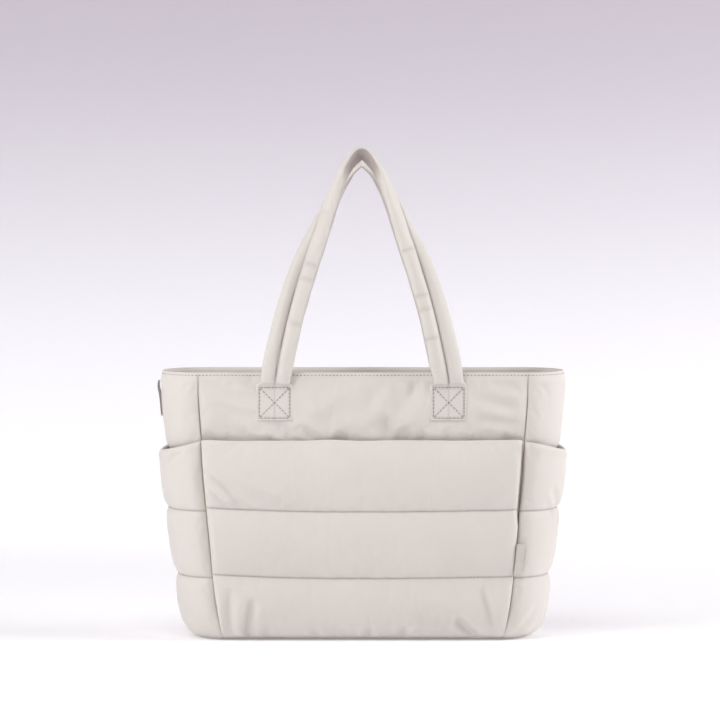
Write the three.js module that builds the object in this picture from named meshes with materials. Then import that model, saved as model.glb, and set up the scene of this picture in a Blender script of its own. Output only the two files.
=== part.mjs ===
import * as THREE from "three";

// Padded tote bag in millimetres, +Z up. The origin is the middle of the base and the front faces -Y.

// Body
const rimWidth = 440;
const baseWidth = 384;
const bodyHeight = 290;
const rimDepth = 112;
const baseDepth = 132;
const endReach = 39; // from a corner seam out to the tip of the rounded end
const wall = 4.5;
const baseRadius = 18; // the rounded edge round the base
const pieceGap = 0.3; // between pieces that are sewn together

// Quilting
const pocketHeight = 215; // the top of the front pocket, and of the channels at the back
const quiltThickness = 2.2; // a padded pocket's wall along its quilt lines
const frontPuff = 7;
const backPuff = 6;
const sidePuff = 3.5;
const sideBow = 0.65; // the share of a side pocket's puff that its inside follows outwards
const edgeRoll = 13; // the width over which a puffed piece rolls down to its seam
const lowRise = 42; // the height over which the lowest channel fills out
const foldDepth = 2.4;
const foldWidth = 7;

// Pockets
const frontSlot = 9; // the room behind the front pocket
const sideSlot = 5.2; // the room that a side pocket makes by standing out
const sideDent = 6; // the room that it makes by pressing the end of the body in
const sideDrop = 13; // how much lower a side pocket's hem is at the tip of the end

// Facing inside the rim
const facingDrop = 40;
const facingThickness = 2;

// Handles
const handleTop = 529; // the middle of the strap at its peak
const handleSpread = 94; // from the middle of the bag to the middle of a sewn end
const handleLean = 20; // from the middle of the bag to the strap at its peak
const handleDropBack = 5; // how much lower the back handle's peak is
const strapWidth = 34;
const strapThickness = 15;
const endWidth = 40;
const endHeight = 39;
const endThickness = 3;
const endBelowRim = 15;

// Tabs
const labelWidth = 9;
const labelHeight = 34;
const labelThickness = 1.2;
const labelGap = 0.8; // over the pocket's puffed surface
const tabWidth = 20;
const tabHeight = 38;
const tabThickness = 1.6;
const tabBulge = 3;
const tabBelowRim = 12;

// The body's outline at shares of its height: widening goes from the base's width to the rim's, narrowing
// from the base's depth to the rim's, and reach is a share of endReach.
const bodySections = [
  { height: 0, widening: 0, narrowing: 0, reach: 1.05 },
  { height: 0.145, widening: 0.15, narrowing: -0.25, reach: 0.96 },
  { height: 0.38, widening: 0.39, narrowing: -0.3, reach: 0.96 },
  { height: 0.62, widening: 0.63, narrowing: 0.2, reach: 0.96 },
  { height: 0.74, widening: 0.77, narrowing: 0.45, reach: 1.0 },
  { height: 0.89, widening: 0.925, narrowing: 0.76, reach: 1.03 },
  { height: 1, widening: 1, narrowing: 1, reach: 1.06 },
];

// Quilt lines at shares of pocketHeight.
const quiltLines = [0, 0.307, 0.642, 1];

// A side pocket and the end behind it, at shares of pocketHeight: slot is a share of sideSlot, dent of sideDent.
const sideRoom = [
  { height: 0, slot: 0, dent: 0 },
  { height: 0.186, slot: 0.05, dent: 0.03 },
  { height: 0.307, slot: 0.2, dent: 0.3 },
  { height: 0.5, slot: 0.5, dent: 0.75 },
  { height: 0.642, slot: 0.85, dent: 1 },
  { height: 0.8, slot: 0.9, dent: 1 },
  { height: 0.92, slot: 1, dent: 0.6 },
  { height: 0.975, slot: 1, dent: 0 },
];

// The front pocket's slot at shares of pocketHeight, as a share of frontSlot.
const frontRoom = [
  { height: 0, slot: 0 },
  { height: 0.12, slot: 0.3 },
  { height: 0.307, slot: 0.5 },
  { height: 0.642, slot: 0.95 },
  { height: 0.9, slot: 1 },
  { height: 1, slot: 0.8 },
];

// Creases of a pocket, from one point to another: across is a share of its half width and up of pocketHeight.
const frontFolds = [
  { across: -0.97, up: 0.84, toAcross: -0.76, toUp: 0.67, depth: 0.8 },
  { across: -0.98, up: 0.76, toAcross: -0.86, toUp: 0.66, depth: 0.7 },
  { across: -0.95, up: 0.02, toAcross: -0.78, toUp: 0.2, depth: 1 },
  { across: -0.84, up: 0.02, toAcross: -0.64, toUp: 0.12, depth: 0.7 },
  { across: 0.95, up: 0.02, toAcross: 0.8, toUp: 0.22, depth: 1 },
  { across: 0.86, up: 0.02, toAcross: 0.66, toUp: 0.14, depth: 0.8 },
];
const sideFolds = [
  { across: -0.55, up: 0.76, toAcross: -0.2, toUp: 0.65, depth: 0.9 },
  { across: -0.75, up: 0.03, toAcross: -0.5, toUp: 0.16, depth: 0.7 },
];

// Half of a handle, from the sewn end to the peak. Up goes from the sewn end's foot to the peak, out is a
// share of handleSpread, lean goes from the body's face to handleLean, width and thick are shares of the
// strap's, flat goes from the padded strap to the sewn end, and turn is in degrees.
const handleSections = [
  { up: 0, out: 1.005, lean: 0, width: 1, thick: 1, flat: 1, turn: 0 },
  { up: 0.06, out: 1.005, lean: 0, width: 1, thick: 1, flat: 1, turn: 0 },
  { up: 0.12, out: 1, lean: 0, width: 1, thick: 1, flat: 1, turn: 0 },
  { up: 0.145, out: 0.985, lean: 0, width: 1, thick: 0.55, flat: 0, turn: 2 },
  { up: 0.2, out: 0.963, lean: 0, width: 1, thick: 0.8, flat: 0, turn: 6 },
  { up: 0.382, out: 0.846, lean: 0.1, width: 0.98, thick: 0.93, flat: 0, turn: 20 },
  { up: 0.562, out: 0.678, lean: 0.34, width: 0.97, thick: 1, flat: 0, turn: 36 },
  { up: 0.743, out: 0.455, lean: 0.66, width: 0.97, thick: 1, flat: 0, turn: 66 },
  { up: 0.89, out: 0.262, lean: 0.9, width: 0.97, thick: 0.9, flat: 0, turn: 94 },
  { up: 0.965, out: 0.13, lean: 0.98, width: 1, thick: 0.68, flat: 0, turn: 106 },
  { up: 1, out: 0, lean: 1, width: 1, thick: 0.5, flat: 0, turn: 112 },
];
const stepsPerSection = 2;

// The strap's section as shares of half its width and half its thickness: two rolls beside a seam groove.
const strapSection = [
  { across: 0, out: 0.55 },
  { across: 0.42, out: 1 },
  { across: 0.84, out: 0.72 },
  { across: 1, out: 0 },
  { across: 0.84, out: -0.75 },
  { across: 0.42, out: -1 },
  { across: 0, out: -0.85 },
  { across: -0.42, out: -1 },
  { across: -0.84, out: -0.75 },
  { across: -1, out: 0 },
  { across: -0.84, out: 0.72 },
  { across: -0.42, out: 1 },
];

// The side tab's stand-off at shares of its height, as a share of tabBulge.
const tabCurve = [
  { height: 0, standOff: 0 },
  { height: 0.6, standOff: 0.12 },
  { height: 0.88, standOff: 1 },
  { height: 1, standOff: 0.2 },
];

const { lerp, clamp, degToRad } = THREE.MathUtils;

// A smooth curve through one column of a table, read by another.
function readTable(rows, by, column) {
  const places = rows.map((row) => row[by]);
  const values = rows.map((row) => row[column]);
  const curve = new THREE.CubicInterpolant(places, values, 1);
  return (place) => curve.evaluate(clamp(place, places[0], places.at(-1)))[0];
}

const widening = readTable(bodySections, "height", "widening");
const narrowing = readTable(bodySections, "height", "narrowing");
const reaching = readTable(bodySections, "height", "reach");
const sideSlotShare = readTable(sideRoom, "height", "slot");
const sideDentShare = readTable(sideRoom, "height", "dent");
const frontSlotShare = readTable(frontRoom, "height", "slot");
const tabStandOff = readTable(tabCurve, "height", "standOff");

function spread(count) {
  return Array.from({ length: count + 1 }, (_, step) => step / count);
}

// The outline of the body at a height. Below baseRadius it is the outline that the rounded edge starts from.
function outlineAt(z) {
  const share = z / bodyHeight;
  const halfWidth = lerp(baseWidth, rimWidth, widening(share)) / 2;
  const halfDepth = lerp(baseDepth, rimDepth, narrowing(share)) / 2;
  const reach = endReach * reaching(share);
  return { seam: halfWidth - reach, reach, halfDepth };
}

// How far the rounded edge at the base lies inside the outline.
function tuckAt(z) {
  const below = Math.max(baseRadius - z, 0);
  return baseRadius - Math.sqrt(baseRadius ** 2 - Math.min(below, baseRadius) ** 2);
}

// A point of the front face: across runs from seam to seam, and standOff is forward of the outline.
function facePoint(z, across, standOff) {
  const { seam, halfDepth } = outlineAt(z);
  return new THREE.Vector3(across * seam, -(halfDepth + standOff), z);
}

// A point of the right end: turn runs from the front seam (-1) round the tip (0) to the back seam (1).
function endPoint(z, turn, standOff) {
  const { seam, reach, halfDepth } = outlineAt(z);
  const angle = (turn * Math.PI) / 2;
  const length = reach - pieceGap;
  const outward = new THREE.Vector2(Math.cos(angle) / length, Math.sin(angle) / halfDepth).normalize();
  const x = seam + pieceGap + length * Math.cos(angle) + standOff * outward.x;
  return new THREE.Vector3(x, halfDepth * Math.sin(angle) + standOff * outward.y, z);
}

// How full a padded channel is at a height, from 0 on a quilt line to 1. The fill has settled a little.
function channelFill(z) {
  const share = clamp(z / pocketHeight, 0, 1);
  const above = quiltLines.findIndex((line, index) => index > 0 && share <= line);
  const along = (share - quiltLines[above - 1]) / (quiltLines[above] - quiltLines[above - 1]);
  const settled = along ** 0.9;
  return Math.max(Math.sin(Math.PI * settled), 0) ** 0.55 * THREE.MathUtils.smoothstep(z, 0, lowRise);
}

// A roll from 0 at a seam to 1 at edgeRoll from it.
function roll(distance) {
  const left = 1 - clamp(distance / edgeRoll, 0, 1);
  return Math.sqrt(1 - left ** 2);
}

// How deep the folds of a table are at a point of a pocket, as a share of foldDepth.
function foldAt(folds, across, z, halfWidth) {
  const point = new THREE.Vector3(across * halfWidth, 0, z);
  const nearest = new THREE.Vector3();
  let deepest = 0;
  for (const fold of folds) {
    const start = new THREE.Vector3(fold.across * halfWidth, 0, fold.up * pocketHeight);
    const end = new THREE.Vector3(fold.toAcross * halfWidth, 0, fold.toUp * pocketHeight);
    new THREE.Line3(start, end).closestPointToPoint(point, true, nearest);
    const away = point.distanceTo(nearest) / foldWidth;
    deepest = Math.max(deepest, fold.depth * Math.exp(-(away ** 2)));
  }
  return deepest;
}

// A closed body whose faces point outwards.
function bodyFrom(points, faces) {
  const volume = faces.reduce((sum, corner, index) => {
    if (index % 3) return sum;
    const [a, b, c] = [corner, faces[index + 1], faces[index + 2]].map((vertex) => points[vertex]);
    return sum + a.dot(b.clone().cross(c));
  }, 0);
  const geometry = new THREE.BufferGeometry().setFromPoints(points);
  geometry.setIndex(volume > 0 ? faces : faces.toReversed());
  geometry.computeVertexNormals();
  return geometry;
}

// A closed wall between two skins with the same rows and columns of points. A ring joins its last column to
// its first.
function wallBetween(outer, inner, ring = false) {
  const rows = outer.length;
  const columns = outer[0].length;
  const at = (skin, row, column) => (skin * rows + row) * columns + (column % columns);
  const faces = [];
  const quad = (a, b, c, d) => faces.push(a, b, c, a, c, d);
  const top = rows - 1;
  const end = columns - 1;
  for (let column = 0; column < (ring ? columns : end); column++) {
    const next = column + 1;
    for (let row = 0; row < top; row++) {
      quad(at(0, row, column), at(0, row, next), at(0, row + 1, next), at(0, row + 1, column));
      quad(at(1, row, column), at(1, row + 1, column), at(1, row + 1, next), at(1, row, next));
    }
    quad(at(1, 0, column), at(1, 0, next), at(0, 0, next), at(0, 0, column));
    quad(at(0, top, column), at(0, top, next), at(1, top, next), at(1, top, column));
  }
  for (let row = 0; row < (ring ? 0 : top); row++) {
    quad(at(0, row, 0), at(0, row + 1, 0), at(1, row + 1, 0), at(1, row, 0));
    quad(at(0, row, end), at(1, row, end), at(1, row + 1, end), at(0, row + 1, end));
  }
  return bodyFrom([...outer.flat(), ...inner.flat()], faces);
}

// A closed body through rings of points, with both ends capped from the ring's middle point.
function bodyThrough(rings) {
  const sides = rings[0].length;
  const faces = [];
  for (let ring = 0; ring < rings.length - 1; ring++) {
    for (let side = 0; side < sides; side++) {
      const next = (side + 1) % sides;
      const [a, b] = [ring * sides + side, ring * sides + next];
      faces.push(a, b, b + sides, a, b + sides, a + sides);
    }
  }
  const last = (rings.length - 1) * sides;
  const hub = sides / 2;
  for (let side = 0; side < sides; side++) {
    const next = (side + 1) % sides;
    if (side === hub || next === hub) continue;
    faces.push(hub, next, side, last + hub, last + side, last + next);
  }
  return bodyFrom(rings.flat(), faces);
}

// Levels of a body wall: round the base's edge and then up to the rim, with how far out of the outline each is.
function wallLevels(standOff, heights) {
  const radius = baseRadius + standOff;
  const round = spread(3).map((share) => {
    const angle = (share * Math.PI) / 2;
    return { z: baseRadius - radius * Math.cos(angle), out: radius * Math.sin(angle) - baseRadius };
  });
  return [...round, ...heights.map((z) => ({ z, out: standOff }))];
}

// Places across a piece, closer together where it rolls down to its seams.
function placesAcross(halfWidth, middle) {
  const rolled = [0, 0.15, 0.45, 1].map((share) => 1 - (share * edgeRoll) / halfWidth);
  const inside = spread(middle).slice(1, -1).map((share) => (2 * share - 1) * rolled.at(-1));
  return [...rolled.map((place) => -place), ...inside, ...rolled.toReversed()];
}

const halfEnd = 0.5 * Math.PI * Math.sqrt((endReach ** 2 + (baseDepth / 2) ** 2) / 2); // along the outline
const endTurns = placesAcross(halfEnd, 9);
const halfPocket = outlineAt(pocketHeight / 2).seam;

const bandHeights = [0.35, 0.7, 1].map((share) => lerp(pocketHeight, bodyHeight, share));
const channelShares = [0.1, 0.27, 0.5, 0.75, 0.92, 1];
const channelHeights = quiltLines.slice(1).flatMap((line, index) => {
  return channelShares.map((share) => lerp(quiltLines[index], line, share) * pocketHeight);
});
const plainHeights = spread(5).slice(1).map((share) => lerp(baseRadius, pocketHeight, share));
const seamRoll = 1.2; // how far the body's panels dip at the corner seams

function panel(heights, middle, puff) {
  const across = placesAcross(halfPocket, middle);
  const upper = heights.filter((z) => z > baseRadius + 1);
  const skin = (standOff, fill) => wallLevels(standOff, upper).map(({ z, out }) => {
    const { seam } = outlineAt(z);
    return across.map((share) => {
      const edge = roll((1 - Math.abs(share)) * seam);
      const dip = seamRoll * (1 - edge) * Math.min(z / baseRadius, 1);
      const raised = fill * (puff * channelFill(z) * edge - dip);
      return facePoint(z, share, out + raised);
    });
  });
  return wallBetween(skin(0, 1), skin(-wall, 0));
}

// The room behind a side pocket, fullest at the tip of the end.
function sideDentAt(z, turn) {
  return sideDent * sideDentShare(z / pocketHeight) * Math.cos((turn * Math.PI) / 2) ** 2;
}

function endPanel() {
  const hem = pocketHeight - sideDrop;
  const heights = [0.14, 0.3, 0.48, 0.65, 0.82, 0.94, 1.02].map((share) => share * hem);
  const upper = [...heights, ...bandHeights];
  const skin = (standOff) => wallLevels(standOff, upper).map(({ z, out }) => {
    return endTurns.map((turn) => endPoint(z, turn, out - sideDentAt(z, turn)));
  });
  return wallBetween(skin(0), skin(-wall));
}

function basePanel() {
  const { seam, reach, halfDepth } = outlineAt(0);
  const inset = baseRadius + pieceGap;
  const outline = new THREE.Shape();
  outline.moveTo(-seam, -(halfDepth - inset));
  outline.lineTo(seam, -(halfDepth - inset));
  const tips = endTurns.slice(1, -1).map((turn) => endPoint(0, turn, -inset));
  tips.forEach((tip) => outline.lineTo(tip.x, tip.y));
  outline.lineTo(seam, halfDepth - inset);
  outline.lineTo(-seam, halfDepth - inset);
  tips.toReversed().forEach((tip) => outline.lineTo(-tip.x, tip.y));
  return new THREE.ExtrudeGeometry(outline, { depth: wall, bevelEnabled: false });
}

function mouthFacing() {
  const shares = spread(8).slice(1, -1).map((share) => 2 * share - 1);
  const mirror = (point, x, y) => new THREE.Vector3(point.x * x, point.y * y, point.z);
  const levels = spread(2).map((share) => bodyHeight - facingDrop * (1 - share));
  const skin = (standOff) => levels.map((z) => {
    const front = shares.map((share) => facePoint(z, share, standOff));
    const right = endTurns.map((turn) => endPoint(z, turn, standOff));
    const back = front.map((point) => mirror(point, -1, -1));
    const left = right.map((point) => mirror(point, -1, -1));
    return [...front, ...right, ...back, ...left];
  });
  const outside = -(wall + pieceGap);
  return wallBetween(skin(outside), skin(outside - facingThickness), true);
}

// A pocket starts a little above the ground, on the rounded edge.
const pocketHeights = wallLevels(0, channelHeights.filter((z) => z > baseRadius + 1)).slice(1).map(({ z }) => z);

function frontPocket() {
  const places = placesAcross(halfPocket, 18);
  const skin = (thickness) => pocketHeights.map((z) => places.map((place) => {
    const edge = roll((1 - Math.abs(place)) * halfPocket);
    const room = pieceGap - tuckAt(z) + frontSlot * frontSlotShare(z / pocketHeight) * edge;
    const crease = foldDepth * foldAt(frontFolds, place, z, halfPocket);
    const puff = Math.max(frontPuff * channelFill(z) - crease, 0) * edge;
    return facePoint(z, place * (1 - pieceGap / halfPocket), room + thickness * (quiltThickness + puff));
  }));
  return wallBetween(skin(1), skin(0));
}

// The height of a side pocket's level, whose hem drops towards the tip of the end.
function sideLevel(z, turn) {
  const lastLine = quiltLines.at(-2) * pocketHeight;
  const top = pocketHeight - sideDrop * Math.cos((turn * Math.PI) / 2);
  return z <= lastLine ? z : THREE.MathUtils.mapLinear(z, lastLine, pocketHeight, lastLine, top);
}

// The stand-off of a side pocket's skins from the body's outline: thickness 0 is its inside and 1 its outside.
function sideStandOff(z, turn, thickness) {
  const distance = (1 - Math.abs(turn)) * halfEnd;
  const edge = roll(distance);
  const bow = sideBow * sidePuff * channelFill(z);
  const room = pieceGap - tuckAt(z) + (sideSlot * sideSlotShare(z / pocketHeight) + bow) * edge;
  const crease = foldDepth * foldAt(sideFolds, turn, z, halfEnd);
  const puff = Math.max((1 - sideBow) * sidePuff * channelFill(z) - crease, 0) * edge;
  return room + thickness * (quiltThickness + puff);
}

function sidePocket() {
  const skin = (thickness) => pocketHeights.map((z) => endTurns.map((turn) => {
    const level = sideLevel(z, turn);
    return endPoint(level, turn, sideStandOff(z, turn, thickness));
  }));
  return wallBetween(skin(1), skin(0));
}

// A handle over the front face. Its face turns from forward at the sewn ends to outward along its legs.
function handle(peak) {
  const foot = bodyHeight - endBelowRim - endHeight;
  const half = handleSections.map((row) => {
    const z = lerp(foot, peak, row.up);
    const width = lerp(strapWidth * row.width, endWidth, row.flat);
    const thick = lerp(strapThickness * row.thick, endThickness, row.flat);
    const seat = outlineAt(Math.min(z, bodyHeight)).halfDepth + pieceGap + thick / 2;
    const y = -lerp(seat, handleLean, row.lean);
    return { point: new THREE.Vector3(row.out * handleSpread, y, z), width, thick, turn: row.turn };
  });
  const mirrored = half.slice(0, -1).toReversed().map((row) => {
    return { ...row, point: new THREE.Vector3(-row.point.x, row.point.y, row.point.z) };
  });
  const rows = [...half, ...mirrored].map((row, index) => ({ ...row, index }));
  const path = new THREE.CatmullRomCurve3(rows.map((row) => row.point), false, "centripetal");
  const widthAt = readTable(rows, "index", "width");
  const thickAt = readTable(rows, "index", "thick");
  const turnAt = readTable(rows, "index", "turn");
  const rings = spread((rows.length - 1) * stepsPerSection).map((share) => {
    const index = share * (rows.length - 1);
    const along = path.getTangent(share);
    const forward = new THREE.Vector3(0, -1, 0).projectOnPlane(along).normalize();
    const outward = along.clone().cross(forward);
    const turn = degToRad(turnAt(index));
    const face = forward.clone().multiplyScalar(Math.cos(turn)).addScaledVector(outward, Math.sin(turn));
    const side = along.clone().cross(face);
    return strapSection.map((corner) => path.getPoint(share)
      .addScaledVector(side, (corner.across * widthAt(index)) / 2)
      .addScaledVector(face, (corner.out * thickAt(index)) / 2));
  });
  return bodyThrough(rings);
}

// The blank tab, sewn in beside the front pocket and lying on the right side pocket.
function labelTab() {
  const top = quiltLines[1] * pocketHeight + labelHeight;
  const heights = spread(4).map((share) => top - labelHeight * (1 - share));
  const first = pieceGap / halfEnd;
  const turns = spread(3).map((share) => -1 + first + (share * labelWidth) / halfEnd);
  const skin = (thickness) => heights.map((z) => turns.map((turn) => {
    return endPoint(z, turn, sideStandOff(z, turn, 1) + labelGap + thickness * labelThickness);
  }));
  return wallBetween(skin(1), skin(0));
}

// The webbing tab at the top of one end.
function sideTab() {
  const top = bodyHeight - tabBelowRim;
  const turns = spread(2).map((share) => ((share - 0.5) * tabWidth) / halfEnd);
  const skin = (thickness) => spread(8).map((share) => {
    const standOff = pieceGap + tabBulge * tabStandOff(share) + thickness * tabThickness;
    return turns.map((turn) => endPoint(top - tabHeight * (1 - share), turn, standOff));
  });
  return wallBetween(skin(1), skin(0));
}

// A mirrored copy, with its faces turned to point outwards again.
function mirrored(geometry, x, y) {
  const copy = geometry.clone().scale(x, y, 1);
  const index = Array.from(copy.getIndex().array);
  copy.setIndex(x * y < 0 ? index.toReversed() : index);
  copy.computeVertexNormals();
  return copy;
}

const finishes = {
  shell: { color: 0xe6dfda, roughness: 0.62, metalness: 0 },
  base: { color: 0xdcd3cd, roughness: 0.66, metalness: 0 },
  facing: { color: 0xddd4cd, roughness: 0.66, metalness: 0 },
  strap: { color: 0xe4ddd7, roughness: 0.62, metalness: 0 },
  tab: { color: 0xd8ccc8, roughness: 0.7, metalness: 0 },
};

const group = new THREE.Group();
function add(name, geometry, finish) {
  const piece = new THREE.Mesh(geometry, new THREE.MeshStandardMaterial(finishes[finish]));
  piece.name = name;
  group.add(piece);
}

const backPanel = mirrored(panel([...channelHeights, ...bandHeights], 8, backPuff), 1, -1);
const rightEnd = endPanel();
const rightPocket = sidePocket();

add("front_panel", panel([...plainHeights, ...bandHeights], 6, 0), "shell");
add("back_panel", backPanel, "shell");
add("right_gusset", rightEnd, "shell");
add("left_gusset", mirrored(rightEnd, -1, 1), "shell");
add("base_panel", basePanel(), "base");
add("mouth_facing", mouthFacing(), "facing");
add("front_pocket", frontPocket(), "shell");
add("right_side_pocket", rightPocket, "shell");
add("left_side_pocket", mirrored(rightPocket, -1, 1), "shell");
add("front_handle", handle(handleTop), "strap");
add("back_handle", mirrored(handle(handleTop - handleDropBack), 1, -1), "strap");
add("label_tab", labelTab(), "tab");
add("side_tab", mirrored(sideTab(), -1, 1), "tab");

export default group;
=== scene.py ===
import math

import bmesh
import bpy
import numpy as np
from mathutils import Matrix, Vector


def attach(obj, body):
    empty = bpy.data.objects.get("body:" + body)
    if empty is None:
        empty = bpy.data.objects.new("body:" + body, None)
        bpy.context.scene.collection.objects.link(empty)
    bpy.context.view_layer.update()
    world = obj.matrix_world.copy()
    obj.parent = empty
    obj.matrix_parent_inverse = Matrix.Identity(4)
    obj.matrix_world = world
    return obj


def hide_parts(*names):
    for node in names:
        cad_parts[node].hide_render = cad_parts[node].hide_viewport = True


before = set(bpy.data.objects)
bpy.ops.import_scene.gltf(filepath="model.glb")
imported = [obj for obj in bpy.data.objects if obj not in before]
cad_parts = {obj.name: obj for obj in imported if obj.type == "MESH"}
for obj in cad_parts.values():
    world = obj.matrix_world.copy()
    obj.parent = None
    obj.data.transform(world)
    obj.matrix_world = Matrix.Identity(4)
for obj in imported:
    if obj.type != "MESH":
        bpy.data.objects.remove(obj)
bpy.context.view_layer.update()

# A padded tote bag. The four walls and the pockets are sheets of points, laid along the body's outline,
# blown up as cloth between their sewn lines, and then given their inner side. All lengths are in metres.

scene = bpy.context.scene
bpy.ops.object.select_all(action="DESELECT")


def readTable(rows, column):
    # a smooth curve through one column of a table, read by the first column
    places = np.array([row[0] for row in rows], float)
    values = np.array([row[column] for row in rows], float)
    last = len(places) - 1

    def read(at):
        at = np.clip(np.asarray(at, float), places[0], places[-1])
        after = np.clip(np.searchsorted(places, at, side="right"), 1, last)
        before = after - 1
        width = places[after] - places[before]
        earlier = np.where(before == 0, after, before - 1)
        later = np.where(after == last, before, np.minimum(after + 1, last))
        pull = np.where(before == 0, -0.5, width / 2 / (places[before] - places[earlier] + (before == 0)))
        push = np.where(after == last, -0.5, width / 2 / (places[later] - places[after] + (after == last)))
        t = (at - places[before]) / width
        t2, t3 = t * t, t * t * t
        return (
            (-pull * t3 + 2 * pull * t2 - pull * t) * values[earlier]
            + ((1 + pull) * t3 + (-1.5 - 2 * pull) * t2 + (-0.5 + pull) * t + 1) * values[before]
            + ((-1 - push) * t3 + (1.5 + push) * t2 + 0.5 * t) * values[after]
            + (push * t3 - push * t2) * values[later]
        )

    return read


def ease(low, high, value):
    t = np.clip((value - low) / (high - low), 0, 1)
    return t * t * (3 - 2 * t)


def bell(distance, width):
    return np.exp(-((distance / width) ** 2))


def noiseAt(x, y, seed):
    # smooth noise from -1 to 1, the same in every run
    x, y = np.broadcast_arrays(np.asarray(x, float), np.asarray(y, float))
    xCell, yCell = np.floor(x), np.floor(y)
    u, v = ease(0, 1, x - xCell), ease(0, 1, y - yCell)

    def corner(i, j):
        mixed = np.sin(i * 12.9898 + j * 78.233 + seed * 37.719) * 43758.5453
        return 2 * (mixed - np.floor(mixed)) - 1

    low = corner(xCell, yCell) * (1 - u) + corner(xCell + 1, yCell) * u
    high = corner(xCell, yCell + 1) * (1 - u) + corner(xCell + 1, yCell + 1) * u
    return low * (1 - v) + high * v


def deselect():
    if bpy.context.object and bpy.context.object.mode != "OBJECT":
        bpy.ops.object.mode_set(mode="OBJECT")
    bpy.ops.object.select_all(action="DESELECT")


def pick(piece):
    deselect()
    piece.select_set(True)
    bpy.context.view_layer.objects.active = piece


def layGrid(name, points):
    # a grid whose vertices are moved to a table of points, with a cloth map in metres
    rows, columns = points.shape[:2]
    deselect()
    bpy.ops.mesh.primitive_grid_add(x_subdivisions=columns - 1, y_subdivisions=rows - 1, size=1)
    piece = bpy.context.object
    piece.name = piece.data.name = name
    mesh = piece.data
    places = np.empty(len(mesh.vertices) * 3)
    mesh.vertices.foreach_get("co", places)
    places = places.reshape(-1, 3)
    column = np.rint((places[:, 0] + 0.5) * (columns - 1)).astype(int)
    row = np.rint((places[:, 1] + 0.5) * (rows - 1)).astype(int)
    mesh.vertices.foreach_set("co", points[row, column].ravel())
    along = np.linalg.norm(np.diff(points, axis=1), axis=2).mean(axis=0)
    up = np.linalg.norm(np.diff(points, axis=0), axis=2).mean(axis=1)
    along, up = running(along), running(up)
    corners = np.empty(len(mesh.loops), int)
    mesh.loops.foreach_get("vertex_index", corners)
    mapped = np.stack([along[column[corners]], up[row[corners]]], axis=1)
    mesh.uv_layers[0].name = "cloth"
    mesh.uv_layers[0].data.foreach_set("uv", mapped.ravel())
    mesh.update()
    return piece, row, column


def paintedGrid(name, points, shade=None):
    # a grid that also carries, for each vertex, how much painted shade its colour takes: near seams and
    # quilt lines, in folds and under the loop tops
    shades = np.zeros(points.shape[:2])
    if shade is not None:
        shades[: len(shade)] = shade
    piece, row, column = layGrid(name, points)
    layer = piece.data.attributes.new("seam", "FLOAT", "POINT")
    layer.data.foreach_set("value", np.clip(shades, 0, 1)[row, column].astype(np.float32))
    return piece


def addObject(name, data):
    piece = bpy.data.objects.new(name, data)
    scene.collection.objects.link(piece)
    return piece


def thicken(piece, thickness):
    pick(piece)
    layer = piece.modifiers.new("cloth thickness", "SOLIDIFY")
    layer.thickness = thickness
    bpy.ops.object.modifier_apply(modifier=layer.name)


def running(steps):
    return np.concatenate([[0], np.cumsum(steps)])


def unit(directions):
    return directions / np.linalg.norm(directions, axis=-1, keepdims=True)


def readLine(at, places, points):
    return np.stack([np.interp(at, places, points[:, i]) for i in range(3)], axis=-1)


def finish(piece, smoothing=1, merge=0.00002):
    # closes what meets, turns the faces outwards and smooths
    shape = bmesh.new()
    shape.from_mesh(piece.data)
    bmesh.ops.remove_doubles(shape, verts=shape.verts, dist=merge)
    bmesh.ops.holes_fill(shape, edges=[edge for edge in shape.edges if edge.is_boundary], sides=0)
    bmesh.ops.recalc_face_normals(shape, faces=shape.faces)
    shape.to_mesh(piece.data)
    shape.free()
    pick(piece)
    if smoothing:
        modifier = piece.modifiers.new("smoothing", "SUBSURF")
        modifier.levels = modifier.render_levels = smoothing
        bpy.ops.object.modifier_apply(modifier=modifier.name)
    bpy.ops.object.shade_smooth()
    return piece


def blowUp(points, held, pressure, growth, travel, stiff=15, frames=20):
    # the sheet is blown up as cloth between the points that are held, and comes back as points
    piece, row, column = layGrid("trial", points)
    group = piece.vertex_groups.new(name="sewn")
    pinned = held[row, column]
    group.add([int(i) for i in np.flatnonzero(pinned)], 1.0, "REPLACE")
    cloth = piece.modifiers.new("cloth", "CLOTH")
    cloth.settings.quality = 6
    cloth.settings.mass = 0.15
    cloth.settings.tension_stiffness = stiff
    cloth.settings.compression_stiffness = stiff
    cloth.settings.shear_stiffness = stiff / 3
    cloth.settings.bending_stiffness = 0.6
    cloth.settings.vertex_group_mass = "sewn"
    cloth.settings.pin_stiffness = 1
    cloth.settings.use_pressure = True
    cloth.settings.uniform_pressure_force = pressure
    cloth.settings.shrink_min = -growth
    cloth.settings.effector_weights.gravity = 0
    cloth.collision_settings.use_collision = False
    cloth.collision_settings.use_self_collision = False
    cloth.point_cache.frame_start = 1
    cloth.point_cache.frame_end = frames
    for step in range(1, frames + 1):
        scene.frame_set(step)
    pick(piece)
    bpy.ops.object.modifier_apply(modifier=cloth.name)
    blown = np.empty(len(piece.data.vertices) * 3)
    piece.data.vertices.foreach_get("co", blown)
    bpy.data.objects.remove(piece)
    scene.frame_set(1)
    result = points.copy()
    result[row, column] = blown.reshape(-1, 3)
    move = result - points
    length = np.linalg.norm(move, axis=2, keepdims=True)
    capped = travel * np.tanh(length / travel)
    return points + move * capped / np.maximum(length, 1e-9)


def heldPoints(points, beside, low, high, level=None, lines=()):
    # the sewn points: columns beside both seams, rows at the bottom and the top, and sewn lines
    held = np.zeros(points.shape[:2], bool)
    held[:, :beside] = held[:, -beside:] = True
    held[:low] = held[-high:] = True
    for line in lines:
        held[np.argmin(np.abs(level[:, 0] - line))] = True
    return held


def turned(points):
    return points * np.array([-1.0, -1.0, 1.0])


def spread(low, high, step, crowd=0.0):
    # even places from low to high, closer together at both ends where crowd is more than 0
    count = max(int(round((high - low) / step)), 1)
    share = np.linspace(0, 1, count + 1)
    return low + (high - low) * (share - crowd * np.sin(2 * np.pi * share))


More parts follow.
